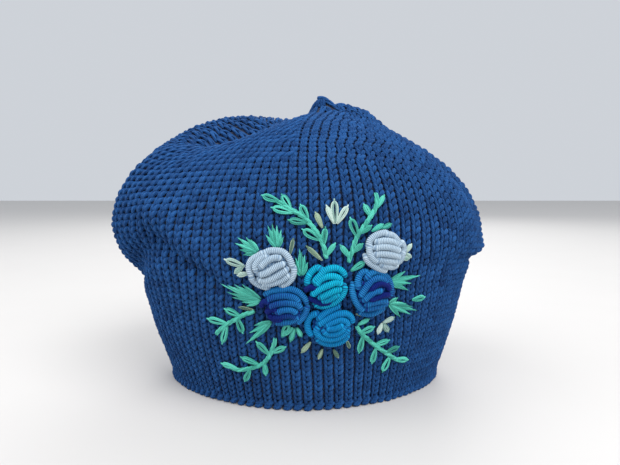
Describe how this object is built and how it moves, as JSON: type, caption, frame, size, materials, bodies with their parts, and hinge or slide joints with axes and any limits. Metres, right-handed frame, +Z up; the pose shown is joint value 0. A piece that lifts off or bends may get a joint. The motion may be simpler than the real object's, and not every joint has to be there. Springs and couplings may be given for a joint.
{
  "type": "winter hat",
  "caption": "Chunky hand-knitted blue slouch hat standing open on its rim, crown gathered to a small tip, with embroidered bullion roses, leaf sprays and buds on the front",
  "frame": {"origin": "Middle of the hat's footprint box, on the surface that the rim rests on.", "axes": "+Z up through the crown, -Y out of the embroidered front, +X towards the wearer's left, which is the right of the picture."},
  "size_m": [0.2402, 0.1704, 0.1803],
  "materials": {
    "yarn_blue": "matt stocking-stitch knit in thick blue yarn with a slight fuzz",
    "floss_grey": "pale grey-blue cotton floss wound into bullion stitches, soft sheen",
    "floss_blue": "variegated mid and navy blue cotton floss in bullion stitches, soft sheen",
    "floss_turquoise": "turquoise cotton floss in bullion stitches, soft sheen",
    "floss_mint": "variegated mint green cotton floss in loop and stem stitches, soft sheen",
    "floss_cream": "cream cotton floss in loop stitches, soft sheen"
  },
  "bodies": {
    "root": {"knitted_hat": "yarn_blue", "rose_upper_left": "floss_grey", "rose_upper_right": "floss_grey", "rose_lower_left": "floss_blue", "rose_middle": "floss_turquoise", "rose_bottom": "floss_turquoise", "rose_right": "floss_blue", "spray_top_left": "floss_mint", "spray_top_right": "floss_mint", "spray_left": "floss_mint", "spray_bottom_left": "floss_mint", "spray_bottom_right": "floss_mint", "feather_top": "floss_mint", "feather_upper_left": "floss_mint", "feather_left": "floss_mint", "feather_bottom_left": "floss_mint", "feather_right": "floss_mint", "feather_lower_right": "floss_mint", "leaf_middle": "floss_mint", "leaves_bottom": "floss_mint", "bud_top": "floss_cream", "bud_left": "floss_cream", "bud_right": "floss_cream", "bud_lower_right": "floss_cream"}
  },
  "joints": []
}
